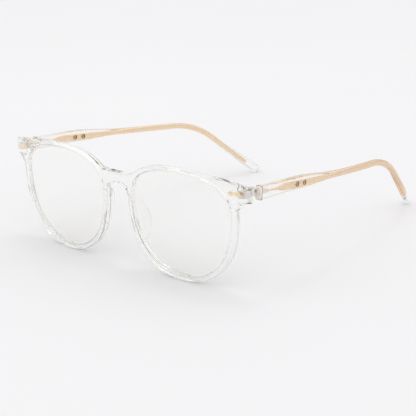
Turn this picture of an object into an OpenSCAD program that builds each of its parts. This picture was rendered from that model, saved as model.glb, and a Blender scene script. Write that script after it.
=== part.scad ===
// Blue light glasses: a clear moulded front, two plano lenses, and clear temples that
// show a gold core wire inside. Both temples fold inward on small five-barrel hinges.
// +X is the wearer's left, -Y is the way the wearer looks, and +Z is up.
// The origin is on the surface the glasses stand on, in the middle of their footprint.
// Every left-hand piece is built at its place, and its right-hand twin is its mirror image.

/* [Lens openings and bridge] */
// Width of one lens opening
eye_w = 51; // [48:0.5:53]
// Height of one lens opening
eye_h = 43.4; // [41:0.2:45]
// Distance between the two openings at the nose
bridge_gap = 18; // [16:0.5:20]
// Height of the widest line of an opening, as a share of the opening's height
widest_share = 0.668; // [0.6:0.002:0.7]
// Squareness of the upper half of an opening (2 is an ellipse)
top_squareness = 2.55; // [2.2:0.05:3]
// Squareness of the lower half of an opening (2 is an ellipse)
bottom_squareness = 2.3; // [2:0.05:2.6]

/* [Front] */
// Width of the rim beside and below an opening
rim_w = 2.6; // [2.4:0.1:3]
// Width of the rim above an opening
brow_w = 2.0; // [1.8:0.1:2.6]
// How much wider the rim is on its outer flank
flank_w = 0.5; // [0:0.1:0.6]
// Thickness of the rim from its front to its back
rim_t = 3.4; // [3.3:0.1:4]
// Half of the width across the front face
front_half = 67.2; // [66.6:0.1:68]
// Radius of the front's curve round the face
wrap_r = 590; // [450:10:900]
// Angle by which the top of the front leans forward as the glasses stand
front_tilt = 2; // [1:0.5:3]
// Height of the bridge's upper edge
bridge_top_z = 41.4; // [40:0.2:43]
// Height of the bridge's lower edge at its middle
bridge_bottom_z = 36.2; // [34:0.2:37]

/* [Lenses] */
// Front radius of a lens
lens_r = 170; // [150:5:260]
// Thickness of a lens
lens_t = 1.7; // [1.5:0.1:1.8]
// How deep a lens sits in the rim's groove
lens_seat = 0.6; // [0.4:0.1:0.8]

/* [Hinges] */
// Distance of a hinge axis from the middle plane
hinge_x = 65.6; // [65.2:0.1:66]
// Height of the middle of a hinge
hinge_z = 41.5; // [41:0.1:42]
// Outer diameter of a hinge barrel
barrel_d = 2.6; // [2.5:0.1:3]
// Height of one of the five barrels
barrel_h = 0.66; // [0.6:0.01:0.76]
// Diameter of the hinge screw
screw_d = 1.4; // [1.2:0.1:1.4]

/* [Temples] */
// Distance of a temple's core from the middle plane at the hinge
temple_x = 66.9; // [66.7:0.1:67.1]
// Length of the straight stretch, from the hinge axis to the ear bend
straight_l = 89; // [80:1:95]
// Radius of the ear bend
bend_r = 43; // [35:1:55]
// Angle of the ear bend
bend_angle = 34.8; // [30:0.2:40]
// Length from the hinge axis to the end of the tip, along the temple
temple_l = 149; // [140:1:155]
// Downward slope of the straight stretch
temple_slope = 5.62; // [5:0.02:6]
// How far the tip bows inward
temple_bow = 19.8; // [12:0.2:21]
// Height of the temple's front end
butt_h = 5.9; // [5.4:0.1:6.2]
// Height of the temple at the widest part of the core
body_h = 5.2; // [4.8:0.1:5.6]
// Thickness of the temple's front half
body_t = 3.7; // [3.5:0.1:4]
// Height of the slim stretch behind it
slim_h = 2.9; // [2.7:0.1:3.4]
// Thickness of the slim stretch
slim_t = 3; // [2.8:0.1:3.4]
// Height of the tip
tip_h = 4.2; // [3.8:0.1:4.6]

/* [Core wires] */
// Height of the flat paddle at the front of a core wire
paddle_h = 2.9; // [2.6:0.1:3.2]
// Thickness of the paddle
paddle_t = 1.2; // [1:0.1:1.4]
// Thickness of the neck ahead of the paddle
neck_d = 0.8; // [0.6:0.1:1.1]
// Height of the wire behind the paddle
wire_h = 1.6; // [1.4:0.1:1.8]
// Thickness of the wire
wire_t = 1.1; // [1:0.1:1.3]

/* [Nose pads] */
// Height of a nose pad
pad_h = 21.5; // [20:0.5:23]
// How far a nose pad stands out behind the rim
pad_reach = 5.4; // [4.6:0.2:6.4]
// Distance of a nose pad's middle from the middle plane
pad_x = 9.6; // [9.2:0.1:10]
// Thickness of a nose pad
pad_t = 2.2; // [1.8:0.1:2.6]

/* [Hidden] */

eye_x = (bridge_gap + eye_w) / 2;             // middle of the left opening
widest_z = rim_w + eye_h * widest_share;      // height of its widest line
top_reach = eye_h * (1 - widest_share);
bottom_reach = eye_h * widest_share;
eye_steps = 96;                               // points round an opening
wrap_steps = 800;                             // facets of the front's curve

hinge_y = -63.7;                              // hinge axes, ahead of the footprint's middle
front_y = hinge_y - 9.7;                      // foot of the front face at the nose
pocket_gap = 0.02;                            // play round a piece that is fixed in another
run_gap = 0.04;                               // radial play of the temple barrels on the screw
barrel_play = 0.04;                           // axial play between barrels
knuckle_gap = 0.15;                           // play between a barrel and the other leaf

wrap_angle = asin(eye_x / wrap_r);            // turn of a lens with the front's curve
face_depth = wrap_r - sqrt(wrap_r * wrap_r - front_half * front_half);
eye_depth = wrap_r - sqrt(wrap_r * wrap_r - eye_x * eye_x);
crown_z = rim_w + eye_h + brow_w;
lens_sag = 1.9;                               // mean depth of the lens's edge behind its apex

endpiece_back = 8.3;                          // back of the endpiece, behind the foot of the face
endpiece_out = 1.5;                           // the endpiece's back is this much wider
brow_run = front_half - 5 - eye_x;            // the brow's top edge falls this far sideways
brow_fall = 2.1;                              // and this far down, out to the endpiece
plaque_x = front_half - 4.1;
plaque_z = 42;
pin_offsets = [-1.7, 1.6];                    // rivet pins, along the plaque
pin_r = 0.5;
pin_end = 4.7;                                // depth of the pins' tips behind the foot of the face

butt_s = 2.8;                                 // stations along a temple, from the hinge axis
tongue_s = 6.8;
paddle_s = 11.2;
rivet_s = [26.2, 31.2];
wire_s = 56;
core_end_s = temple_l - 9;
sides = 16;                                   // points in a ring round a temple or a wire

clear = [0.86, 0.93, 0.92, 0.4];
lens_tint = [0.95, 0.95, 0.84, 0.35];
gold = [0.83, 0.62, 0.36];
steel = [0.66, 0.65, 0.64];

// ---------- outlines ----------

// Distance from the middle of an opening's widest line to its edge, at angle t
function eye_r(t) =
    let (upper = sin(t) > 0,
         k = upper ? top_squareness : bottom_squareness,
         reach = upper ? top_reach : bottom_reach)
    1 / pow(pow(abs(cos(t)) / (eye_w / 2), k) + pow(abs(sin(t)) / reach, k), 1 / k);

function eye_point(t) = [eye_x + eye_r(t) * cos(t), widest_z + eye_r(t) * sin(t)];

// A point d outside the edge of the opening, at angle t
function eye_edge(t, d) =
    let (run = eye_point(t + 1) - eye_point(t - 1))
    eye_point(t) + d * [run[1], -run[0]] / norm(run);

function eye_outline(d) = [for (i = [0 : eye_steps - 1]) eye_edge(i * 360 / eye_steps, d)];

// The rim's outer edge, closer to the opening above it and wider on the outer flank
function rim_outline() =
    [for (i = [0 : eye_steps - 1])
        let (t = i * 360 / eye_steps)
        eye_edge(t, rim_w + (brow_w - rim_w) * pow(max(0, sin(t)), 2) + flank_w * pow(max(0, cos(t)), 2))];

function arc(centre, r, from, to, steps = 8) =
    [for (i = [0 : steps]) let (a = from + (to - from) * i / steps) centre + r * [cos(a), sin(a)]];

// ---------- placing ----------

// Stands a piece of the front, drawn upright with its face through the origin, in its place
module on_front() {
    translate([0, front_y, -eye_depth * sin(front_tilt)]) rotate([front_tilt, 0, 0]) children();
}

// Turns a flat outline in x and height into a slab between two depths
module slab(from, to) {
    translate([0, to, 0]) rotate([90, 0, 0]) linear_extrude(to - from) children();
}

module both_sides() {
    children();
    mirror([1, 0, 0]) children();
}

// ---------- front ----------

module front_outline() {
    both_sides() {
        polygon(rim_outline());
        // brow, falling to the endpiece
        polygon(concat([for (i = [1 : 10])
                           [eye_x + brow_run * i / 10, crown_z - brow_fall * pow(i / 10, 2)]],
                       arc([front_half - 1.2, 44.2], 1.6, 70, 0),
                       [[front_half + 0.4, 39], [front_half - 4.3, 34.2], [eye_x + 20, 34]]));
        // bridge, arched below
        polygon(concat(arc([0, bridge_bottom_z - 9], 9, 90, 46),
                       [[8.2, 32.6], [bridge_gap / 2 + 2.4, bridge_top_z + 0.2], [0, bridge_top_z]]));
    }
}

// The curved sheet that the front is cut from, plano back to front
module front_sheet(from, to) {
    translate([0, wrap_r, -1]) difference() {
        cylinder(h = 60, r = wrap_r - from, $fn = wrap_steps);
        translate([0, 0, -1]) cylinder(h = 62, r = wrap_r - to, $fn = wrap_steps);
        translate([-wrap_r - 1, -wrap_r / 2, -2]) cube([2 * wrap_r + 2, 2 * wrap_r, 64]);
    }
}

// The deep corner block that carries a hinge, as seen from above and from the side
module endpiece() {
    back = endpiece_back;
    intersection() {
        translate([0, 0, 30]) linear_extrude(20) polygon(concat(
            [[front_half - 7.4, face_depth + 0.8]],
            arc([front_half - 1.2, face_depth + 1.1], 1.2, -100, -20),
            [[front_half + endpiece_out, back - 1.5], [front_half + endpiece_out, back],
             [front_half - 4.4, back]],
            arc([front_half - 7.4, back - 0.2], 3, 0, -90)));
        translate([front_half - 9, 0, 0]) rotate([90, 0, 90]) linear_extrude(14) polygon([
            [1, 38], [face_depth, 38], [back, 37.6], [back, 44], [face_depth, 45.6], [1, 45.6]]);
    }
}

// Puts a lens, drawn round the middle plane, in the left opening's place
module at_eye() {
    translate([0, wrap_r, 0]) rotate([0, 0, wrap_angle]) translate([0, -wrap_r, 0]) children();
}

// A lens-shaped sheet: outline d outside the opening, thicker by play on each face
module lens_shape(d, play) {
    intersection() {
        slab(-4, 8) polygon(eye_outline(d));
        at_eye() translate([0, rim_t / 2 - lens_sag - lens_t / 2 + lens_r, rim_w + eye_h / 2])
            difference() {
                sphere(r = lens_r + play, $fn = 200);
                sphere(r = lens_r - lens_t - play, $fn = 200);
                translate([-lens_r - 1, -lens_r / 2, -lens_r - 1])
                    cube([2 * lens_r + 2, 2 * lens_r, 2 * lens_r + 2]);
            }
    }
}

module hinge_plate(play) {
    plate_y = endpiece_back - 3.2;
    translate([front_half - 2.9 - play, plate_y - play, 40.1 - play])
        cube([2.2 + 2 * play, 2.6 + play, 3 + 2 * play]);
}

module pins(r, from, to) {
    for (dx = pin_offsets)
        translate([plaque_x + dx, to, plaque_z]) rotate([90, 0, 0]) cylinder(h = to - from, r = r, $fn = 32);
}

module front_frame() color(clear) difference() {
    on_front() difference() {
        union() {
            intersection() {
                slab(-1, 12) front_outline();
                front_sheet(0, rim_t);
            }
            both_sides() endpiece();
        }
        both_sides() {
            slab(-1, 12) polygon(eye_outline(0));
            lens_shape(lens_seat + 0.1, 0.05);
            hinge_plate(pocket_gap);
            translate([0, 0.6, 0]) hinge_plate(pocket_gap);
            pins(pin_r + pocket_gap, 2, pin_end + pocket_gap);
            plaque_seat();
        }
    }
    both_sides() at_hinge() hinge_arm(pocket_gap);
}

module lens() color(lens_tint) on_front() lens_shape(lens_seat, 0);

// A clear pad, bonded to the back of the rim beside the nose
module nose_pad() color(clear) on_front() {
    arc_r = (pow(pad_h / 2, 2) + pow(pad_reach, 2)) / (2 * pad_reach);
    intersection() {
        translate([pad_x, rim_t + 0.03, 22]) rotate([0, -16, 0]) rotate([0, 0, -24])
            translate([-pad_t / 2, pad_reach - arc_r, 0]) rotate([0, 90, 0])
                cylinder(h = pad_t, r = arc_r, $fn = 96);
        translate([pad_x, pad_x * pad_x / 2 / wrap_r + rim_t + 0.01, 0]) rotate([0, 0, asin(pad_x / wrap_r)])
            translate([-20, 0, 0]) cube([40, 12, 50]);
    }
}

// ---------- rivet plaque on the front face ----------

module plaque_outline(grow) {
    half = 3.2 + grow;
    tall = 1.15 + grow;
    polygon([[-half, 0], [-half + 1.6, tall], [0, tall * 0.55], [half - 1.6, tall], [half, 0],
             [half - 1.6, -tall], [0, -tall * 0.55], [-half + 1.6, -tall]]);
}

// The face's depth at the plaque, which lies flat on the front's curve
plaque_y = wrap_r - sqrt(wrap_r * wrap_r - plaque_x * plaque_x);
plaque_turn = asin(plaque_x / wrap_r);

module plaque_seat() {
    translate([plaque_x, plaque_y, plaque_z]) rotate([0, 0, plaque_turn])
        slab(-1, 0.5) plaque_outline(pocket_gap);
}

module rivet_plaque() color(gold) on_front() {
    translate([plaque_x, plaque_y, plaque_z]) rotate([0, 0, plaque_turn])
        slab(-0.3, 0.48) plaque_outline(0);
    pins(pin_r, plaque_y + 0.2, pin_end);
}

// ---------- hinge, with its axis upright ----------

module at_hinge() {
    translate([hinge_x, hinge_y, hinge_z]) children();
}

// The barrels whose places in the stack are listed, counted up from 0
module barrels(places, bore_r) {
    for (i = places) difference() {
        translate([0, 0, (i - 2.5) * barrel_h + barrel_play / 2])
            cylinder(h = barrel_h - barrel_play, d = barrel_d, $fn = 48);
        translate([0, 0, -5]) cylinder(h = 10, r = bore_r, $fn = 48);
    }
}

// Fingers that join the listed barrels to a leaf on the side that way points to, 1 or -1
module fingers(places, way) {
    reach = barrel_d / 2 + knuckle_gap + 0.2;
    for (i = places) difference() {
        translate([-barrel_d / 4, way > 0 ? 0 : -reach, (i - 2.5) * barrel_h + barrel_play / 2])
            cube([barrel_d / 2, reach, barrel_h - barrel_play]);
        translate([0, 0, -5]) cylinder(h = 10, r = barrel_d / 2 - 0.3, $fn = 48);
    }
}

// The arm that carries the front barrels out of the endpiece's back
module hinge_arm(play) {
    stack = 5 * barrel_h - barrel_play;
    translate([-barrel_d / 4 - play, -barrel_d / 2 - knuckle_gap - 2 - play, -stack / 2 - play])
        cube([barrel_d / 2 + 2 * play, 2 + play, stack + 2 * play]);
}

module front_hinge() color(steel) {
    at_hinge() {
        barrels([0, 2, 4], screw_d / 2 + pocket_gap);
        fingers([0, 2, 4], -1);
        hinge_arm(0);
    }
    on_front() hinge_plate(0);
}

module temple_hinge() color(gold) at_hinge() {
    inset = temple_x - hinge_x;
    leaf_y = barrel_d / 2 + knuckle_gap;
    barrels([1, 3], screw_d / 2 + run_gap);
    fingers([1, 3], 1);
    rotate([-temple_slope, 0, 0]) {
        translate([-barrel_d / 4, leaf_y, -0.9])
            cube([inset + barrel_d / 4 + 0.6, butt_s - leaf_y - 0.05, 2]);
        translate([inset - 0.6, leaf_y, -0.8]) cube([1.2, tongue_s - leaf_y, 1.8]);
    }
}

module hinge_screw() color(steel) at_hinge() {
    top = 2.5 * barrel_h + 0.01;
    translate([0, 0, -2.5 * barrel_h - 0.1]) cylinder(h = top + 2.5 * barrel_h + 0.2, d = screw_d, $fn = 48);
    difference() {
        translate([0, 0, top]) cylinder(h = 0.45, d = barrel_d - 0.5, $fn = 48);
        translate([-2, -0.14, top + 0.2]) cube([4, 0.28, 1]);
    }
}

// ---------- temples ----------

function smooth(x) = let (t = min(1, max(0, x))) t * t * (3 - 2 * t);
function blend(s, s0, s1, v0, v1) = v0 + (v1 - v0) * smooth((s - s0) / (s1 - s0));

// A point on the temple's middle line, s along it from the hinge axis, relative to that axis
function temple_point(s) =
    let (turned = min(bend_angle, max(0, (s - straight_l) / bend_r * 180 / PI)),
         past = max(0, s - straight_l - bend_r * bend_angle * PI / 180),
         along = min(s, straight_l) + bend_r * sin(turned) + past * cos(bend_angle),
         down = bend_r * (1 - cos(turned)) + past * sin(bend_angle),
         t = max(0, s - 5) / (temple_l - 5),
         inward = temple_bow * (0.05 * t + 0.6 * t * t + 0.35 * t * t * t))
    [temple_x - inward,
     hinge_y + along * cos(temple_slope) - down * sin(temple_slope),
     hinge_z - along * sin(temple_slope) - down * cos(temple_slope)];

// One closed ring of points round the middle line, w thick and h tall, lowered by drop
function ring(s, w, h, squareness, drop = 0) =
    let (run = temple_point(s + 0.5) - temple_point(s - 0.5),
         ahead = run / norm(run),
         flat = cross(ahead, [0, 0, 1]),
         out = flat / norm(flat),
         up = cross(out, ahead))
    [for (i = [0 : sides - 1])
        let (a = (i + 0.5) * 360 / sides,
             u = sign(cos(a)) * pow(abs(cos(a)), 2 / squareness) * w / 2,
             v = sign(sin(a)) * pow(abs(sin(a)), 2 / squareness) * h / 2)
        temple_point(s) + u * out + (v - drop) * up];

// Triangles of a tube of rings whose points start at number first; inside turns them over
function tube_faces(first, rings, sides, inside = false) =
    [for (k = [0 : rings - 2], j = [0 : sides - 1])
        let (a = first + k * sides + j,
             b = first + k * sides + (j + 1) % sides,
             c = b + sides,
             d = a + sides)
        each inside ? [[a, c, b], [a, d, c]] : [[a, b, c], [a, c, d]]];

// Height and thickness of the clear body at station s, and how far its middle lies below the core
function height_at(s) =
    s < 26 ? butt_h + (body_h - butt_h) * (s - butt_s) / (26 - butt_s)
    : s < 100 ? blend(s, 26, 54, body_h, slim_h)
    : blend(s, 112, temple_l - 6, slim_h, tip_h);
function thickness_at(s) = blend(s, 26, 58, body_t, slim_t);
function drop_at(s) = s < 30 ? blend(s, butt_s, 30, 0.5, -0.5) : blend(s, 34, 70, -0.5, 0);

// How much of its full size the tip keeps at station s, for its round end
function tip_share(s) = let (x = max(0, (s - temple_l + 2.2) / 2.25)) sqrt(1 - x * x);

function core_h(s) =
    s < 25 ? blend(s, paddle_s, paddle_s + 7, neck_d, paddle_h)
    : blend(s, 27, wire_s, paddle_h, wire_h);
function core_t(s) =
    s < 25 ? blend(s, paddle_s, paddle_s + 3, neck_d, paddle_t)
    : blend(s, 27, wire_s, paddle_t, wire_t);

temple_stations = concat([butt_s, 9, 16, 22, 26], [for (s = [30 : 4 : 58]) s], [68, 78],
                         [for (s = [86 : 4 : 118]) s], [124, 131, 138, 143],
                         [for (x = [0 : 0.25 : 1]) temple_l - 2.2 * (1 - x)]);
core_stations = concat([tongue_s + 0.1, 9, paddle_s, 12.2, 13.2, 14.2, 15.2, 16.2, 17.2, 18.2, 23, 29],
                       [for (s = [33 : 4 : 61]) s], [70, 79], [for (s = [86 : 4 : 118]) s],
                       [124, 131, 136, core_end_s]);

// The clear body of a temple, closed round the channel that holds the core wire
module temple() color(clear) {
    outer = [for (s = temple_stations)
                each ring(s, thickness_at(s) * tip_share(s), height_at(s) * tip_share(s),
                          blend(s, 26, 60, 7, 3.2), drop_at(s))];
    channel_stations = concat([butt_s, tongue_s, tongue_s + 0.05], core_stations);
    inner = [for (s = channel_stations)
                each s <= tongue_s ? ring(s, 1.6, 2.5, 8) : ring(s, core_t(s) + 0.1, core_h(s) + 0.1, 3)];
    n_outer = len(temple_stations);
    n_inner = len(channel_stations);
    start = n_outer * sides;
    polyhedron(
        points = concat(outer, inner),
        faces = concat(
            tube_faces(0, n_outer, sides),
            [[for (j = [0 : sides - 1]) start - sides + j]],
            [for (j = [0 : sides - 1]) let (k = (j + 1) % sides)
                each [[j, start + j, start + k], [j, start + k, k]]],
            tube_faces(start, n_inner, sides, true),
            [[for (j = [sides - 1 : -1 : 0]) start + (n_inner - 1) * sides + j]]),
        convexity = 6);
}

// The gold wire inside a temple: a thin neck, a flat paddle, and a long tapering wire
module core_wire() color(gold) {
    points = [for (s = core_stations) each ring(s < core_end_s ? s : s - 0.1, core_t(s), core_h(s), 3)];
    n = len(core_stations);
    polyhedron(
        points = points,
        faces = concat(
            [[for (j = [sides - 1 : -1 : 0]) j]],
            tube_faces(0, n, sides),
            [[for (j = [0 : sides - 1]) (n - 1) * sides + j]]),
        convexity = 6);
}

// Two domed rivets set across the paddle
module temple_rivets() color(gold) {
    for (s = rivet_s) {
        run = temple_point(s + 0.5) - temple_point(s - 0.5);
        translate(temple_point(s)) rotate([0, 0, -atan2(run[0], run[1])]) rotate([0, 90, 0]) {
            cylinder(h = paddle_t + 0.4, d = 1, center = true, $fn = 32);
            for (way = [0, 180]) rotate([way, 0, 0]) intersection() {
                translate([0, 0, paddle_t / 2 - 0.9]) sphere(r = 1.3, $fn = 48);
                translate([0, 0, paddle_t / 2]) cylinder(h = 1, d = 2.4, $fn = 48);
            }
        }
    }
}

front_frame();
lens();  // lens_left
mirror([1, 0, 0]) lens();  // lens_right
nose_pad();  // nose_pad_left
mirror([1, 0, 0]) nose_pad();  // nose_pad_right
rivet_plaque();  // rivet_plaque_left
mirror([1, 0, 0]) rivet_plaque();  // rivet_plaque_right
front_hinge();  // front_hinge_left
mirror([1, 0, 0]) front_hinge();  // front_hinge_right
hinge_screw();  // hinge_screw_left
mirror([1, 0, 0]) hinge_screw();  // hinge_screw_right
temple_hinge();  // temple_hinge_left
mirror([1, 0, 0]) temple_hinge();  // temple_hinge_right
temple();  // temple_left
mirror([1, 0, 0]) temple();  // temple_right
core_wire();  // core_wire_left
mirror([1, 0, 0]) core_wire();  // core_wire_right
temple_rivets();  // temple_rivets_left
mirror([1, 0, 0]) temple_rivets();  // temple_rivets_right
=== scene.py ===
# The looks of a pair of clear-framed blue light glasses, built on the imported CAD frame.
# Lengths are in millimetres until a mesh is made, and metres after that.
# The front is drawn upright, with its face through the origin, and then leaned into place.

import math

import bmesh
import bpy
import numpy as np
from mathutils import Matrix, Vector


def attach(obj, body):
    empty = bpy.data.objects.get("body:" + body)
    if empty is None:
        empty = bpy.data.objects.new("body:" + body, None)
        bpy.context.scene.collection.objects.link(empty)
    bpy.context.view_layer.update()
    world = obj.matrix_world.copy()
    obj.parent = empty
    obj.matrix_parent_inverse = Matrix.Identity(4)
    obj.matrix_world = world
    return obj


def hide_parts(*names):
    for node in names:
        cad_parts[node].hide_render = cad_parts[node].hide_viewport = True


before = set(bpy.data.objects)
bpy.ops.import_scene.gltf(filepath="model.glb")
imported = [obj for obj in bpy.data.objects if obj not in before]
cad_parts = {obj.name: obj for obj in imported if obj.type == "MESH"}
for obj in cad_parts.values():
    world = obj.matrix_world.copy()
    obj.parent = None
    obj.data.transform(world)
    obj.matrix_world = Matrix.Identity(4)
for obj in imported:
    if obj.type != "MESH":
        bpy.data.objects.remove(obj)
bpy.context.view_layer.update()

# ---------- dimensions, the same as the CAD's ----------

eye_w, eye_h = 51.0, 43.4
bridge_gap = 18.0
widest_share = 0.668
top_squareness, bottom_squareness = 2.55, 2.3
rim_w, brow_w, flank_w, rim_t = 2.6, 2.0, 0.5, 3.4
front_half = 67.2
wrap_r = 590.0
front_tilt = math.radians(2)
bridge_top_z, bridge_bottom_z = 41.4, 36.2
lens_r, lens_t, lens_sag = 170.0, 1.7, 1.9
lens_seat = 0.6
hinge_y, hinge_z = -63.7, 41.5
temple_x = 66.9
straight_l, bend_r, bend_angle = 89.0, 43.0, math.radians(34.8)
temple_l = 149.0
temple_slope = math.radians(5.62)
temple_bow = 19.8
butt_h, body_h, body_t = 5.9, 5.2, 3.7
slim_h, slim_t, tip_h = 2.9, 3.0, 4.2
paddle_h, paddle_t = 2.9, 1.2
wire_h, wire_t = 1.6, 1.1
pad_x, pad_h, pad_reach, pad_t = 9.6, 21.5, 5.4, 2.2
butt_s, tongue_s, paddle_s, wire_s = 2.8, 6.8, 11.2, 56.0
neck_d = 0.8
rivet_s = (26.2, 31.2)
core_end_s = temple_l - 9
endpiece_back, endpiece_out = 8.3, 1.5
plaque_x, plaque_z = front_half - 4.1, 42.0
brow_fall = 2.1

# ---------- dimensions worked out from them ----------

eye_x = (bridge_gap + eye_w) / 2
widest_z = rim_w + eye_h * widest_share
top_reach = eye_h * (1 - widest_share)
bottom_reach = eye_h * widest_share
brow_run = front_half - 5 - eye_x
crown_z = rim_w + eye_h + brow_w
front_y = hinge_y - 9.7
wrap_angle = math.asin(eye_x / wrap_r)
face_depth = wrap_r - math.sqrt(wrap_r**2 - front_half**2)
front_lift = -(wrap_r - math.sqrt(wrap_r**2 - eye_x**2)) * math.sin(front_tilt)
SIDES = {"left": 1, "right": -1}

# ---------- fineness and edges of the meshes ----------

front_cell, pad_cell = 0.23, 0.22          # grid steps of the two moulded shapes
outer_round, inner_round = 1.0, 0.4        # rounding of the rim's outer and inner edges
temple_edge = 0.3                          # rounding of a temple's front end
tip_round = 2.2                            # length of a temple's round tip
wire_square = 2.3                          # a wire's section, 2 being an ellipse
plaque_half, plaque_tall = 3.2, 1.15       # a plaque's half length and half height
lozenge = 1.6                              # half length of one of its two lozenges

# ---------- placing and mesh making ----------

def stand(points):
    """Points of the upright front, leaned into their place."""
    x, y, z = np.asarray(points, float).T
    c, s = math.cos(front_tilt), math.sin(front_tilt)
    return np.stack([x, front_y + y * c - z * s, front_lift + y * s + z * c], 1)


def leaned(normals):
    """Directions of the upright front, leaned as the front is."""
    x, y, z = normals.T
    c, s = math.cos(front_tilt), math.sin(front_tilt)
    return np.stack([x, y * c - z * s, y * s + z * c], 1)


def mirrored(points, side):
    """The same points on the side asked for: 1 is the wearer's left, and -1 the right."""
    return np.array(points, float) * (side, 1, 1)


def piece(name, points, faces, material, body, stands_for, smooth=True, normals=None):
    """One named piece made of millimetre points, riding on a body in place of its CAD nodes."""
    mesh = bpy.data.meshes.new(name)
    mesh.from_pydata((np.asarray(points) * 0.001).tolist(), [], [tuple(map(int, f)) for f in faces])
    mesh.validate()
    mesh.update()
    mesh.calc_loop_triangles()
    corners = np.array([t.vertices for t in mesh.loop_triangles])
    places = np.asarray(points)[corners]
    if np.einsum("ij,ij->i", np.cross(places[:, 0], places[:, 1]), places[:, 2]).sum() < 0:
        mesh.flip_normals()
    mesh.polygons.foreach_set("use_smooth", [smooth] * len(mesh.polygons))
    if normals is not None:
        mesh.normals_split_custom_set_from_vertices(normals.tolist())
    mesh.materials.append(material)
    obj = bpy.data.objects.new(name, mesh)
    bpy.context.scene.collection.objects.link(obj)
    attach(obj, body)
    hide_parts(*stands_for)
    return obj


def smooth_max(a, b, k):
    """The larger of two distances, with the change from one to the other blended over k."""
    share = np.clip(0.5 + 0.5 * (a - b) / k, 0, 1)
    return b + (a - b) * share + k * share * (1 - share)


def smooth_min(a, b, k):
    return -smooth_max(-a, -b, k)


def rounded(a, b, r):
    """The solid inside both distances a and b, with the edge between them rounded to radius r."""
    qa, qb = a + r, b + r
    outside = np.sqrt(np.maximum(qa, 0) ** 2 + np.maximum(qb, 0) ** 2)
    return outside + np.minimum(np.maximum(qa, qb), 0) - r


def sampled(field, low, high, cell):
    """The field on a grid, worked out in full only in the blocks that its surface may cross."""
    counts = [int(math.ceil((high[i] - low[i]) / cell)) + 1 for i in range(3)]
    axes = [low[i] + cell * np.arange(counts[i]) for i in range(3)]
    block = 16
    starts = [np.arange(0, c, block) for c in counts]
    middles = [low[i] + cell * (starts[i] + block / 2) for i in range(3)]
    coarse = field(*np.meshgrid(*middles, indexing="ij", sparse=True))
    coarse = np.broadcast_to(coarse, [len(m) for m in middles])
    value = np.empty(counts, np.float32)
    for at in np.ndindex(coarse.shape):
        spans = tuple(slice(starts[i][at[i]], starts[i][at[i]] + block) for i in range(3))
        if abs(coarse[at]) > cell * block * 1.15:
            value[spans] = coarse[at]
        else:
            x, y, z = (axes[i][spans[i]] for i in range(3))
            value[spans] = field(x[:, None, None], y[None, :, None], z[None, None, :])
    return value


def gradient(field, points, h=0.02):
    """How fast the field changes along x, y and z at each point."""
    x, y, z = points.T
    return np.stack([field(x + h, y, z) - field(x - h, y, z),
                     field(x, y + h, z) - field(x, y - h, z),
                     field(x, y, z + h) - field(x, y, z - h)], 1) / (2 * h)


def skin(field, low, high, cell):
    """Points, quads and outward normals over the surface where the field is 0."""
    value = sampled(field, low, high, cell)
    cells = [c - 1 for c in value.shape]
    inside = value < 0
    corners = [(p, q, r) for p in (0, 1) for q in (0, 1) for r in (0, 1)]
    filled = sum(inside[tuple(slice(o, o + c) for o, c in zip(corner, cells))].astype(np.int8)
                 for corner in corners)
    at = np.argwhere((filled > 0) & (filled < 8))
    number = np.full(cells, -1, np.int32)
    number[tuple(at.T)] = np.arange(len(at))

    held = {corner: value[tuple((at + corner).T)].astype(float) for corner in corners}
    total = np.zeros((len(at), 3))
    hits = np.zeros(len(at))
    for axis in range(3):
        for p in (0, 1):
            for q in (0, 1):
                start = [p, q]
                start.insert(axis, 0)
                end = list(start)
                end[axis] = 1
                a, b = held[tuple(start)], held[tuple(end)]
                crosses = (a < 0) != (b < 0)
                share = np.where(crosses, a / np.where(crosses, a - b, 1), 0)
                total += crosses[:, None] * np.array(start)
                total[:, axis] += share
                hits += crosses
    points = np.array(low) + cell * (at + total / hits[:, None])

    faces = []
    for axis in range(3):
        b, c = (axis + 1) % 3, (axis + 2) % 3
        spans = [slice(1, n - 1) for n in value.shape]
        spans[axis] = slice(0, value.shape[axis] - 1)
        here = inside[tuple(spans)]
        spans[axis] = slice(1, value.shape[axis])
        there = inside[tuple(spans)]
        for rising in (True, False):
            at = np.argwhere((here & ~there) if rising else (~here & there))
            at[:, b] += 1
            at[:, c] += 1
            ring = []
            for db, dc in ((1, 1), (0, 1), (0, 0), (1, 0)):
                cell_at = at.copy()
                cell_at[:, b] -= db
                cell_at[:, c] -= dc
                ring.append(number[tuple(cell_at.T)])
            if not rising:
                ring.reverse()
            faces.append(np.stack(ring, 1))
    faces = np.concatenate(faces)

    ends = np.concatenate([faces[:, [k, (k + 1) % 4]] for k in range(4)])
    meets = np.bincount(ends.ravel(), minlength=len(points))[:, None]
    # 0 pulls the points onto the surface, and the other steps even them out along it
    for relax in (0, 0, 0.6, 0, 0.6, 0, 0.6, 0, 0):
        slope = gradient(field, points)
        steepness = np.maximum((slope**2).sum(1), 0.05)[:, None]
        if relax:
            near = np.stack([np.bincount(ends[:, 0], points[ends[:, 1], i], len(points))
                             + np.bincount(ends[:, 1], points[ends[:, 0], i], len(points))
                             for i in range(3)], 1) / meets
            slide = near - points
            slide -= (slide * slope).sum(1)[:, None] * slope / steepness
            points = points + relax * slide
        else:
            now = field(*points.T)[:, None]
            points = points - np.clip(now / steepness, -cell, cell) * slope
    slope = gradient(field, points)
    return points, faces, slope / np.linalg.norm(slope, axis=1)[:, None]


def tube(rings):
    """Quads along rings of points, closed by one face at each end."""
    rings = np.asarray(rings)
    count, sides = rings.shape[:2]
    faces = []
    for k in range(count - 1):
        for j in range(sides):
            a = k * sides + j
            b = k * sides + (j + 1) % sides
            faces.append((a, b, b + sides, a + sides))
    faces.append(tuple(reversed(range(sides))))
    faces.append(tuple(range((count - 1) * sides, count * sides)))
    return rings.reshape(-1, 3), faces


# ---------- materials ----------

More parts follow.
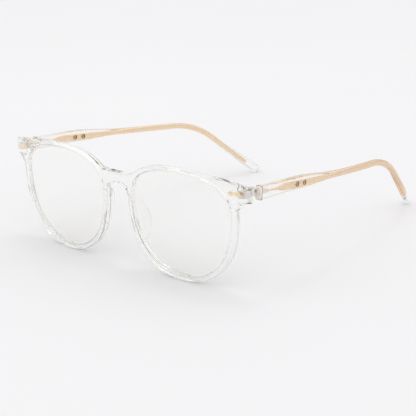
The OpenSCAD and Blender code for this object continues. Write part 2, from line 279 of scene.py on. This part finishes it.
class Nodes:
    """A material's node tree, with short calls for adding and linking nodes."""

    def __init__(self, name):
        self.material = bpy.data.materials.new(name)
        self.material.use_nodes = True
        self.tree = self.material.node_tree
        self.tree.nodes.clear()
        self.out = self.tree.nodes.new("ShaderNodeOutputMaterial")
        self.shader = self.tree.nodes.new("ShaderNodeBsdfPrincipled")
        self.link(self.shader.outputs[0], self.out.inputs["Surface"])
        coords = self.tree.nodes.new("ShaderNodeTexCoord")
        self.place = coords.outputs["Object"]

    def link(self, a, b):
        self.tree.links.new(a, b)

    def noise(self, scale, detail=2.0, stretch=(1, 1, 1)):
        mapping = self.tree.nodes.new("ShaderNodeMapping")
        mapping.inputs["Scale"].default_value = stretch
        self.link(self.place, mapping.inputs["Vector"])
        node = self.tree.nodes.new("ShaderNodeTexNoise")
        node.inputs["Scale"].default_value = scale
        node.inputs["Detail"].default_value = detail
        self.link(mapping.outputs[0], node.inputs["Vector"])
        return node.outputs["Fac"]

    def ramp(self, fac, low, high, start=0.3, end=0.7):
        node = self.tree.nodes.new("ShaderNodeValToRGB")
        node.color_ramp.elements[0].position = start
        node.color_ramp.elements[1].position = end
        node.color_ramp.elements[0].color = low
        node.color_ramp.elements[1].color = high
        self.link(fac, node.inputs["Fac"])
        return node.outputs["Color"]

    def grey(self, fac, low, high):
        node = self.tree.nodes.new("ShaderNodeMapRange")
        node.inputs["To Min"].default_value = low
        node.inputs["To Max"].default_value = high
        self.link(fac, node.inputs["Value"])
        return node.outputs["Result"]

    def bump(self, height, distance, strength=1.0):
        node = self.tree.nodes.new("ShaderNodeBump")
        node.inputs["Distance"].default_value = distance
        node.inputs["Strength"].default_value = strength
        self.link(height, node.inputs["Height"])
        self.link(node.outputs[0], self.shader.inputs["Normal"])

    def set(self, **values):
        for key, value in values.items():
            self.shader.inputs[key.replace("_", " ")].default_value = value

    def tinted_depth(self, tint, density):
        depth = self.tree.nodes.new("ShaderNodeVolumeAbsorption")
        depth.inputs["Color"].default_value = tint
        depth.inputs["Density"].default_value = density
        self.link(depth.outputs[0], self.out.inputs["Volume"])


def clear_material(name, ior, tint, density, ripple):
    """Polished clear plastic: faint moulding ripple, faint smudges, and colour in its depth."""
    m = Nodes(name)
    m.set(IOR=ior, Transmission_Weight=1.0)
    smudge = m.noise(180, 4)
    m.link(m.ramp(smudge, (0.985, 0.99, 0.985, 1), (1, 1, 1, 1)), m.shader.inputs["Base Color"])
    m.link(m.grey(smudge, 0.0, 0.03), m.shader.inputs["Roughness"])
    m.bump(m.noise(120, 1), ripple)
    m.tinted_depth(tint, density)
    return m.material


def milled_material(name, ior, tint, density):
    """The same plastic where it was cut and not polished: whitish, with fine cutter marks."""
    m = Nodes(name)
    m.set(IOR=ior, Transmission_Weight=0.04)
    marks = m.noise(1500, 4, (1, 1, 0.2))
    m.link(m.ramp(marks, (0.98, 0.965, 0.955, 1), (1.0, 0.99, 0.98, 1)),
           m.shader.inputs["Base Color"])
    m.link(m.grey(marks, 0.3, 0.5), m.shader.inputs["Roughness"])
    m.bump(marks, 0.00001)
    m.tinted_depth(tint, density)
    return m.material


def metal_material(name, light, dark, rough, grain, stretch=(1, 1, 1)):
    """Plated metal with slightly uneven colour, drawn grain and fine scratches."""
    m = Nodes(name)
    m.set(Metallic=1.0)
    cloud = m.noise(350, 3)
    lines = m.noise(2600, 4, stretch)
    m.link(m.ramp(cloud, dark, light), m.shader.inputs["Base Color"])
    m.link(m.grey(lines, rough * 0.7, rough * 1.4), m.shader.inputs["Roughness"])
    m.bump(lines, grain, 0.6)
    return m.material


plastic_ior, plastic_tint, plastic_density = 1.49, (0.9, 0.93, 0.76, 1), 14
milled = milled_material("milled_plastic", plastic_ior, plastic_tint, plastic_density)
crystal = clear_material("crystal_plastic", plastic_ior, plastic_tint, plastic_density, 0.000002)
resin = clear_material("lens_resin", 1.54, (0.96, 0.95, 0.62, 1), 22, 0.0000004)
gold = metal_material("champagne_gold", (0.97, 0.77, 0.56, 1), (0.95, 0.72, 0.49, 1),
                      0.24, 0.0000007, (1, 0.25, 1))
plaque_gold = metal_material("plaque_gold", (0.98, 0.84, 0.62, 1), (0.95, 0.79, 0.55, 1),
                             0.2, 0.000001)
hinge_gold = metal_material("hinge_gold", (0.95, 0.87, 0.78, 1), (0.90, 0.81, 0.71, 1),
                            0.3, 0.000001)
# painted reflection: the rivets' gold is darkened to stand in for the dark room their polished
# domes would reflect
rivet_gold_painted_dark = metal_material("rivet_gold_painted_dark", (0.62, 0.42, 0.20, 1), (0.46, 0.30, 0.13, 1),
                            0.1, 0.0000008)
nickel = metal_material("nickel_silver", (0.88, 0.86, 0.84, 1), (0.82, 0.80, 0.78, 1),
                        0.3, 0.0000015, (0.2, 1, 1))


# ---------- front ----------

def eye_curve(t):
    """Points on the edge of the left opening, at the angles t round its middle."""
    c, s = np.cos(t), np.sin(t)
    k = np.where(s > 0, top_squareness, bottom_squareness)
    reach = np.where(s > 0, top_reach, bottom_reach)
    r = ((np.abs(c) / (eye_w / 2)) ** k + (np.abs(s) / reach) ** k) ** (-1 / k)
    return eye_x + r * c, widest_z + r * s


def eye_distance(x, z):
    """Distance outside the edge of the left opening, less than 0 within it."""
    angle = np.arctan2(z - widest_z, x - eye_x)
    t = angle
    h = 1e-3
    for _ in range(7):
        px, pz = eye_curve(t)
        ax, az = eye_curve(t + h)
        bx, bz = eye_curve(t - h)
        tx, tz = (ax - bx) / (2 * h), (az - bz) / (2 * h)
        t = t + 0.8 * np.clip(((x - px) * tx + (z - pz) * tz) / (tx * tx + tz * tz), -0.2, 0.2)
    px, pz = eye_curve(t)
    ox, oz = eye_curve(angle)
    outside = np.hypot(x - eye_x, z - widest_z) > np.hypot(ox - eye_x, oz - widest_z)
    return np.where(outside, 1, -1) * np.hypot(x - px, z - pz), angle


def face_y(x):
    """Depth of the front's curved face at x."""
    return wrap_r - np.sqrt(wrap_r**2 - x * x)


def lens_middle():
    """Centre of the lens's spheres, in the upright front."""
    y = rim_t / 2 - lens_sag - lens_t / 2 + lens_r - wrap_r
    return -math.sin(wrap_angle) * y, math.cos(wrap_angle) * y + wrap_r, rim_w + eye_h / 2


def front_field(x, y, z):
    """The upright front: rims, brow, bridge and corner blocks, less the lens grooves."""
    u = np.sqrt(x * x + 0.01)  # both sides at once, without a crease in the middle
    to_eye, angle = eye_distance(u, z)
    width = rim_w + (brow_w - rim_w) * np.maximum(0, np.sin(angle)) ** 2
    rim = to_eye - width - flank_w * np.maximum(0, np.cos(angle)) ** 2

    run = (u - eye_x) / brow_run
    top = (z - crown_z + brow_fall * run * run) / np.sqrt(1 + (2 * brow_fall * run / brow_run) ** 2)
    slant = ((u - front_half - 0.4) * 4.8 - (z - 39) * 4.7) / math.hypot(4.8, 4.7)
    brow = smooth_max(top + 0.1, u - front_half - 0.35, 0.9)
    brow = smooth_max(brow, slant, 0.9)
    brow = np.maximum(brow, np.maximum(34 - z, eye_x + 4 - u))

    arch = 9 - np.sqrt(u * u + (z - bridge_bottom_z + 9) ** 2)
    cap = z - bridge_top_z - 0.002 * u * u
    bridge = smooth_max(smooth_max(arch, cap, 0.5), (u - 8.2) - (z - 32.6) * 0.36, 0.6)
    bridge = np.maximum(bridge, 31 - z)

    outline = smooth_min(smooth_min(rim, brow, 0.4), bridge, 2.2)
    back = y - face_y(u)
    slab = np.abs(back - rim_t / 2) - rim_t / 2
    sheet = np.maximum(rounded(outline, slab, outer_round), rounded(-to_eye, slab, inner_round))

    side = ((u - front_half) * 1.9 - (y - face_depth - 1.1) * 1.5) / math.hypot(1.9, 1.5)
    side = smooth_max(side, u - front_half - endpiece_out, 0.8)
    block = smooth_max(side, front_half - 4.4 - u, 0.6)
    block = smooth_max(block, y - endpiece_back, 0.6)
    rise = (y - face_depth) / (endpiece_back - face_depth)
    block = smooth_max(block, z - 45.6 + 1.6 * rise, 0.8)
    block = smooth_max(block, 38 - 0.4 * rise - z, 0.8)
    block = np.maximum(block, 1.2 - back)
    solid = smooth_min(sheet, block, 1.2)

    cx, cy, cz = lens_middle()
    to_middle = np.sqrt((u - cx) ** 2 + (y - cy) ** 2 + (z - cz) ** 2)
    groove = smooth_max(np.abs(to_eye) - lens_seat - 0.1,
                        np.abs(to_middle - lens_r + lens_t / 2) - lens_t / 2 - 0.05, 0.3)
    return smooth_max(solid, -groove, 0.25)


def make_front():
    points, faces, normals = skin(front_field, (-69.6, -0.8, -0.8), (69.6, 9.2, 49.0), front_cell)
    return piece("clear_front_frame", stand(points), faces, crystal, "front",
                 ["front_frame"], normals=leaned(normals))


def make_lens(name, side):
    """A meniscus lens with a narrow bevel round its edge."""
    turns, rounds = 256, 28
    cx, cy, cz = lens_middle()
    t = np.arange(turns) * 2 * math.pi / turns
    px, pz = eye_curve(t)
    ax, az = eye_curve(t + 1e-3)
    bx, bz = eye_curve(t - 1e-3)
    length = np.hypot(ax - bx, az - bz)
    nx, nz = (az - bz) / length, -(ax - bx) / length

    def ring(share, out, r):
        x = eye_x + (px + out * nx - eye_x) * share
        z = widest_z + (pz + out * nz - widest_z) * share
        y = cy - np.sqrt(r * r - (x - cx) ** 2 - (z - cz) ** 2)
        return np.stack([x, y, z], 1)

    shares = [(i + 1) / rounds for i in range(rounds)]
    rings = [ring(s, lens_seat - 0.2, lens_r) for s in shares]
    rings += [ring(1, lens_seat - d, lens_r - lens_t * v)
              for d, v in ((0.08, 0.06), (0.01, 0.25), (0, 0.5), (0.01, 0.75), (0.08, 0.94))]
    rings += [ring(s, lens_seat - 0.2, lens_r - lens_t) for s in reversed(shares)]
    points, faces = tube(rings)
    points = mirrored(stand(points), side)
    obj = piece("clear_lens_" + name, points, faces, resin, "front", ["lens_" + name])
    obj.visible_shadow = False  # clear resin passes the light that a solid shadow would hold back
    return obj


def pad_field(x, y, z):
    """A crescent pad with soft edges, cut off flat along the rim's back."""
    a, b = math.radians(16), math.radians(24)
    dx, dy, dz = x - pad_x, y - rim_t - 0.03, z - 22
    px = dx * math.cos(a) + dz * math.sin(a)
    pz = -dx * math.sin(a) + dz * math.cos(a)
    qx = px * math.cos(b) - dy * math.sin(b)
    qy = px * math.sin(b) + dy * math.cos(b)
    r = ((pad_h / 2) ** 2 + pad_reach**2) / (2 * pad_reach)
    disc = np.sqrt((qy - pad_reach + r) ** 2 + pz**2) - r
    body = rounded(disc, np.abs(qx) - pad_t / 2, 0.95)
    return smooth_max(body, rim_t + 0.03 - (y - face_y(x)), 0.25)


def make_pad(name, side):
    points, faces, normals = skin(pad_field, (3, 2.6, 9), (16, 10, 35), pad_cell)
    points = mirrored(stand(points), side)
    return piece("clear_nose_pad_" + name, points, faces, crystal, "front",
                 ["nose_pad_" + name], normals=mirrored(leaned(normals), side))


def make_plaque(name, side):
    """Two joined lozenges with ridged faces, a bevelled edge, and the rivet pins behind them."""
    half, tall, peak_x = plaque_half, plaque_tall, plaque_half - lozenge
    outline = [(-half, 0), (-peak_x, tall), (0, tall * 0.55), (peak_x, tall), (half, 0),
               (peak_x, -tall), (0, -tall * 0.55), (-peak_x, -tall)]
    bm = bmesh.new()

    def layer(inset, depth):
        return [bm.verts.new((x * (1 - inset / half), depth, z * (1 - inset / tall)))
                for x, z in outline]

    back, edge, rim = layer(0, 0.48), layer(0, -0.08), layer(0.14, -0.17)
    inner = layer(0.3, -0.12)
    for low, high in ((back, edge), (edge, rim), (rim, inner)):
        for j in range(8):
            k = (j + 1) % 8
            bm.faces.new((low[j], high[j], high[k], low[k]))
    bm.faces.new(back)
    peaks = [bm.verts.new((x, -0.3, 0)) for x in (-peak_x, peak_x)]
    waist = bm.verts.new((0, -0.16, 0))
    for peak, order in ((peaks[0], (7, 0, 1)), (peaks[1], (3, 4, 5))):
        for j, k in zip(order, order[1:]):
            bm.faces.new((inner[j], peak, inner[k]))
    bm.faces.new((inner[1], peaks[0], waist, inner[2]))
    bm.faces.new((inner[2], waist, peaks[1], inner[3]))
    bm.faces.new((inner[6], inner[5], peaks[1], waist))
    bm.faces.new((inner[7], inner[6], waist, peaks[0]))
    for dx in (-1.7, 1.6):
        stood = Matrix.Translation((dx, 0.85, 0)) @ Matrix.Rotation(math.pi / 2, 4, "X")
        pin = bmesh.ops.create_cone(bm, cap_ends=True, segments=24, radius1=0.5, radius2=0.5,
                                    depth=0.9, matrix=stood)
        edges = list({e for v in pin["verts"] for e in v.link_edges})
        bmesh.ops.bevel(bm, geom=edges, offset=0.06, segments=2, affect="EDGES")
    bmesh.ops.recalc_face_normals(bm, faces=bm.faces)
    turn = Matrix.Rotation(math.asin(plaque_x / wrap_r), 4, "Z")
    place = Matrix.Translation((plaque_x, float(face_y(plaque_x)), plaque_z)) @ turn
    points = [place @ v.co for v in bm.verts]
    bm.verts.index_update()
    faces = [[v.index for v in f.verts] for f in bm.faces]
    bm.free()
    points = mirrored(stand(points), side)
    return piece("gold_plaque_" + name, points, faces, plaque_gold, "front",
                 ["rivet_plaque_" + name], smooth=False)


# ---------- temples ----------

def smoothed(x):
    x = np.clip(x, 0, 1)
    return x * x * (3 - 2 * x)


def blend(s, s0, s1, v0, v1):
    """Goes from v0 to v1 as s goes from s0 to s1."""
    return v0 + (v1 - v0) * smoothed((s - s0) / (s1 - s0))


def temple_point(s):
    """Point on a left temple's middle line, s along it from the hinge axis."""
    turned = np.clip((s - straight_l) / bend_r, 0, bend_angle)
    past = max(0, s - straight_l - bend_r * bend_angle)
    along = min(s, straight_l) + bend_r * math.sin(turned) + past * math.cos(bend_angle)
    down = bend_r * (1 - math.cos(turned)) + past * math.sin(bend_angle)
    t = max(0, s - 5) / (temple_l - 5)
    inward = temple_bow * (0.05 * t + 0.6 * t * t + 0.35 * t**3)
    c, k = math.cos(temple_slope), math.sin(temple_slope)
    return np.array([temple_x - inward,
                     hinge_y + along * c - down * k,
                     hinge_z - along * k - down * c])


def temple_axes(s):
    """Directions ahead along the temple, out to its side and up, at s."""
    ahead = temple_point(s + 0.5) - temple_point(s - 0.5)
    ahead /= np.linalg.norm(ahead)
    out = np.cross(ahead, (0, 0, 1))
    out /= np.linalg.norm(out)
    return ahead, out, np.cross(out, ahead)


def section(s, w, h, outer, inner, drop=0.0, sides=56):
    """A ring round the middle line: outer and inner are how square its two halves are."""
    _, out, up = temple_axes(s)
    a = (np.arange(sides) + 0.5) * 2 * math.pi / sides
    c, k = np.cos(a), np.sin(a)
    power = np.where(c > 0, 2 / outer, 2 / inner)
    u = np.sign(c) * np.abs(c) ** power * w / 2
    v = np.sign(k) * np.abs(k) ** power * h / 2 - drop
    return temple_point(s) + u[:, None] * out + v[:, None] * up


def body_height(s):
    if s < 26:
        return butt_h + (body_h - butt_h) * (s - butt_s) / (26 - butt_s)
    if s < 100:
        return blend(s, 26, 54, body_h, slim_h)
    return blend(s, 112, temple_l - 6, slim_h, tip_h)


def body_drop(s):
    """How far the clear body's middle lies below the core."""
    return blend(s, butt_s, 30, 0.5, -0.5) if s < 30 else blend(s, 34, 70, -0.5, 0)


def core_height(s):
    if s < 25:
        return blend(s, paddle_s, paddle_s + 7, neck_d, paddle_h)
    return blend(s, 27, wire_s, paddle_h, wire_h)


def core_thickness(s):
    if s < 25:
        return blend(s, paddle_s, paddle_s + 3, neck_d, paddle_t)
    return blend(s, 27, wire_s, paddle_t, wire_t)


def make_temple(name, side):
    """The clear body: a rounded slab at the hinge that turns into a rod behind the paddle."""
    edge = temple_edge
    stations = [butt_s + edge * (1 - math.cos(a)) for a in np.linspace(0.25, math.pi / 2, 7)]
    stations += list(np.linspace(butt_s + edge + 0.3, temple_l - tip_round - 0.2, 190))
    stations += [temple_l - tip_round * (1 - math.sin(a))
                 for a in np.linspace(0, math.pi / 2 - 0.12, 12)]
    rings = []
    for s in stations:
        inset = 0
        if s < butt_s + edge:
            inset = edge - math.sqrt(max(0, edge**2 - (butt_s + edge - s) ** 2))
        tip = math.sqrt(max(0, 1 - (max(0, s - temple_l + tip_round) / tip_round) ** 2))
        w = (blend(s, 26, 58, body_t - 0.06, slim_t) - 2 * inset) * tip
        h = (body_height(s) - 2 * inset) * tip
        rings.append(section(s, w, h, blend(s, 26, 64, 6, 2.15), blend(s, 26, 64, 6, 2.3),
                             body_drop(s), 72))
    points, faces = tube(rings)
    points = mirrored(points, side)
    obj = piece("clear_temple_" + name, points, faces, crystal, name + "_temple",
                ["temple_" + name])
    # the flat face toward the hinge is milled
    obj.data.materials.append(milled)
    for polygon in obj.data.polygons:
        if len(polygon.vertices) > 4 and obj.data.vertices[polygon.vertices[0]].co.y < 0:
            polygon.material_index = 1
    return obj


def make_core(name, side):
    """The gold wire inside a temple: thin neck, pointed flat paddle, long taper, round end."""
    stations = list(np.linspace(tongue_s + 0.12, core_end_s - 0.5, 210))
    rings = []
    for s in stations:
        start = min(1, 0.55 + (s - tongue_s) / 0.6)
        square = blend(s, 30, 62, 4.5, wire_square)
        rings.append(section(s, core_thickness(s) * start, core_height(s) * start,
                             square, square, sides=40))
    for a in np.linspace(0.2, math.pi / 2 - 0.15, 6):
        share = math.cos(a)
        rings.append(section(core_end_s - 0.5 * (1 - math.sin(a)), wire_t * share, wire_h * share,
                             wire_square, wire_square, sides=40))
    points, faces = tube(rings)
    points = mirrored(points, side)
    return piece("gold_core_wire_" + name, points, faces, gold, name + "_temple",
                 ["core_wire_" + name])


def make_rivets(name, side):
    """Two rivets across the paddle, each a domed head on both faces with a fine step round it."""
    outline = [(0.5, 0), (1.2, 0), (1.2, 0.1), (1.12, 0.16), (1.02, 0.17)]
    outline += [(0.98 * math.cos(a), 0.17 + 0.4 * math.sin(a)) for a in np.linspace(0.15, 1.45, 9)]
    points, faces = [], []
    for s in rivet_s:
        ahead, out, up = temple_axes(s)
        for way in (1, -1):
            rings = []
            for r, rise in outline:
                a = np.arange(40) * 2 * math.pi / 40
                flat = r * (np.cos(a)[:, None] * ahead + way * np.sin(a)[:, None] * up)
                rings.append(temple_point(s) + flat + way * (paddle_t / 2 - 0.03 + rise) * out)
            new_points, new_faces = tube(rings)
            start = len(points)
            points += new_points.tolist()
            faces += [tuple(i + start for i in f) for f in new_faces]
    points = mirrored(points, side)
    return piece("gold_rivets_" + name, points, faces, rivet_gold_painted_dark, name + "_temple",
                 ["temple_rivets_" + name])


# ---------- hinges and screws ----------

def refined(new_name, node, material, body, width):
    """A CAD node's shape with its edges broken by a small bevel, as tumbled metal has."""
    cad_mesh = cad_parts[node].data
    points = [v.co * 1000 for v in cad_mesh.vertices]
    faces = [tuple(p.vertices) for p in cad_mesh.polygons]
    obj = piece(new_name, points, faces, material, body, [node])
    bm = bmesh.new()
    bm.from_mesh(obj.data)
    bmesh.ops.remove_doubles(bm, verts=bm.verts, dist=1e-7)
    bmesh.ops.dissolve_limit(bm, angle_limit=math.radians(1), verts=bm.verts, edges=bm.edges)
    bmesh.ops.recalc_face_normals(bm, faces=bm.faces)
    bm.to_mesh(obj.data)
    bm.free()
    bevel = obj.modifiers.new("broken_edges", "BEVEL")
    bevel.width = width * 0.001
    bevel.segments = 2
    bevel.limit_method = "ANGLE"
    bevel.angle_limit = math.radians(35)
    bevel.harden_normals = True
    return obj


# ---------- floor, light and camera ----------

def make_floor():
    """A wide pale paper floor."""
    mesh = bpy.data.meshes.new("floor")
    reach, steps = 3.0, 24
    bm = bmesh.new()
    bmesh.ops.create_grid(bm, x_segments=steps, y_segments=steps, size=reach)
    bm.to_mesh(mesh)
    bm.free()
    floor = bpy.data.objects.new("floor", mesh)
    bpy.context.scene.collection.objects.link(floor)
    paper = Nodes("pale_floor")
    paper.set(Roughness=0.9)
    paper.shader.inputs["Specular IOR Level"].default_value = 0.1
    paper.link(paper.ramp(paper.noise(3, 2), (0.885, 0.875, 0.89, 1), (0.895, 0.887, 0.90, 1)),
               paper.shader.inputs["Base Color"])
    mesh.materials.append(paper.material)


def make_room():
    """Even white light from above that fades to grey toward the horizon."""
    world = bpy.data.worlds.new("studio")
    bpy.context.scene.world = world
    world.use_nodes = True
    tree = world.node_tree
    tree.nodes.clear()
    coords = tree.nodes.new("ShaderNodeTexCoord")
    split = tree.nodes.new("ShaderNodeSeparateXYZ")
    tree.links.new(coords.outputs["Generated"], split.inputs[0])
    ramp = tree.nodes.new("ShaderNodeValToRGB")
    ramp.color_ramp.elements[0].position = 0.01
    ramp.color_ramp.elements[0].color = (0.58, 0.58, 0.59, 1)
    ramp.color_ramp.elements[1].position = 0.3
    ramp.color_ramp.elements[1].color = (1, 1, 1, 1)
    tree.links.new(split.outputs["Z"], ramp.inputs["Fac"])
    background = tree.nodes.new("ShaderNodeBackground")
    background.inputs["Strength"].default_value = 1.0
    tree.links.new(ramp.outputs["Color"], background.inputs["Color"])
    out = tree.nodes.new("ShaderNodeOutputWorld")
    tree.links.new(background.outputs[0], out.inputs["Surface"])


def make_lamp():
    """A soft lamp overhead, turned to the glasses."""
    lamp = bpy.data.lights.new("overhead_softbox", "AREA")
    lamp.shape = "RECTANGLE"
    lamp.size, lamp.size_y = 0.26, 0.18
    lamp.energy = 0.5
    holder = bpy.data.objects.new("overhead_softbox", lamp)
    holder.location = (-0.1, 0.12, 0.95)
    aim = Vector((0, 0, 0.02)) - holder.location
    holder.rotation_euler = aim.to_track_quat("-Z", "Y").to_euler()
    bpy.context.scene.collection.objects.link(holder)


def make_camera():
    """A long lens, looking a little down from in front of the left temple."""
    camera = bpy.data.cameras.new("camera")
    camera.sensor_width = 36
    camera.lens = 109.6
    camera.clip_start = 0.02
    holder = bpy.data.objects.new("camera", camera)
    bpy.context.scene.collection.objects.link(holder)
    yaw, down, roll = math.radians(42.413), math.radians(17.229), math.radians(-1.637)
    turn = (Matrix.Rotation(yaw, 4, "Z") @ Matrix.Rotation(math.pi / 2 - down, 4, "X")
            @ Matrix.Rotation(roll, 4, "Z"))
    holder.matrix_world = Matrix.Translation((0.37304, -0.42585, 0.18265)) @ turn
    bpy.context.scene.camera = holder


# ---------- the whole scene ----------

make_front()
for side_name, side_sign in SIDES.items():
    make_lens(side_name, side_sign)
    make_pad(side_name, side_sign)
    make_plaque(side_name, side_sign)
    make_temple(side_name, side_sign)
    make_core(side_name, side_sign)
    make_rivets(side_name, side_sign)
    refined("nickel_front_hinge_" + side_name, "front_hinge_" + side_name, nickel, "front",
            0.07)
    refined("nickel_hinge_screw_" + side_name, "hinge_screw_" + side_name, nickel, "front",
            0.05)
    refined("gold_temple_hinge_" + side_name, "temple_hinge_" + side_name, hinge_gold,
            side_name + "_temple", 0.07)
make_floor()
make_room()
make_lamp()
make_camera()
bpy.context.scene.view_settings.view_transform = "Standard"

# light goes through many clear walls before it gets out of the front
bpy.context.scene.cycles.max_bounces = 24
bpy.context.scene.cycles.transmission_bounces = 24
bpy.context.scene.cycles.glossy_bounces = 12
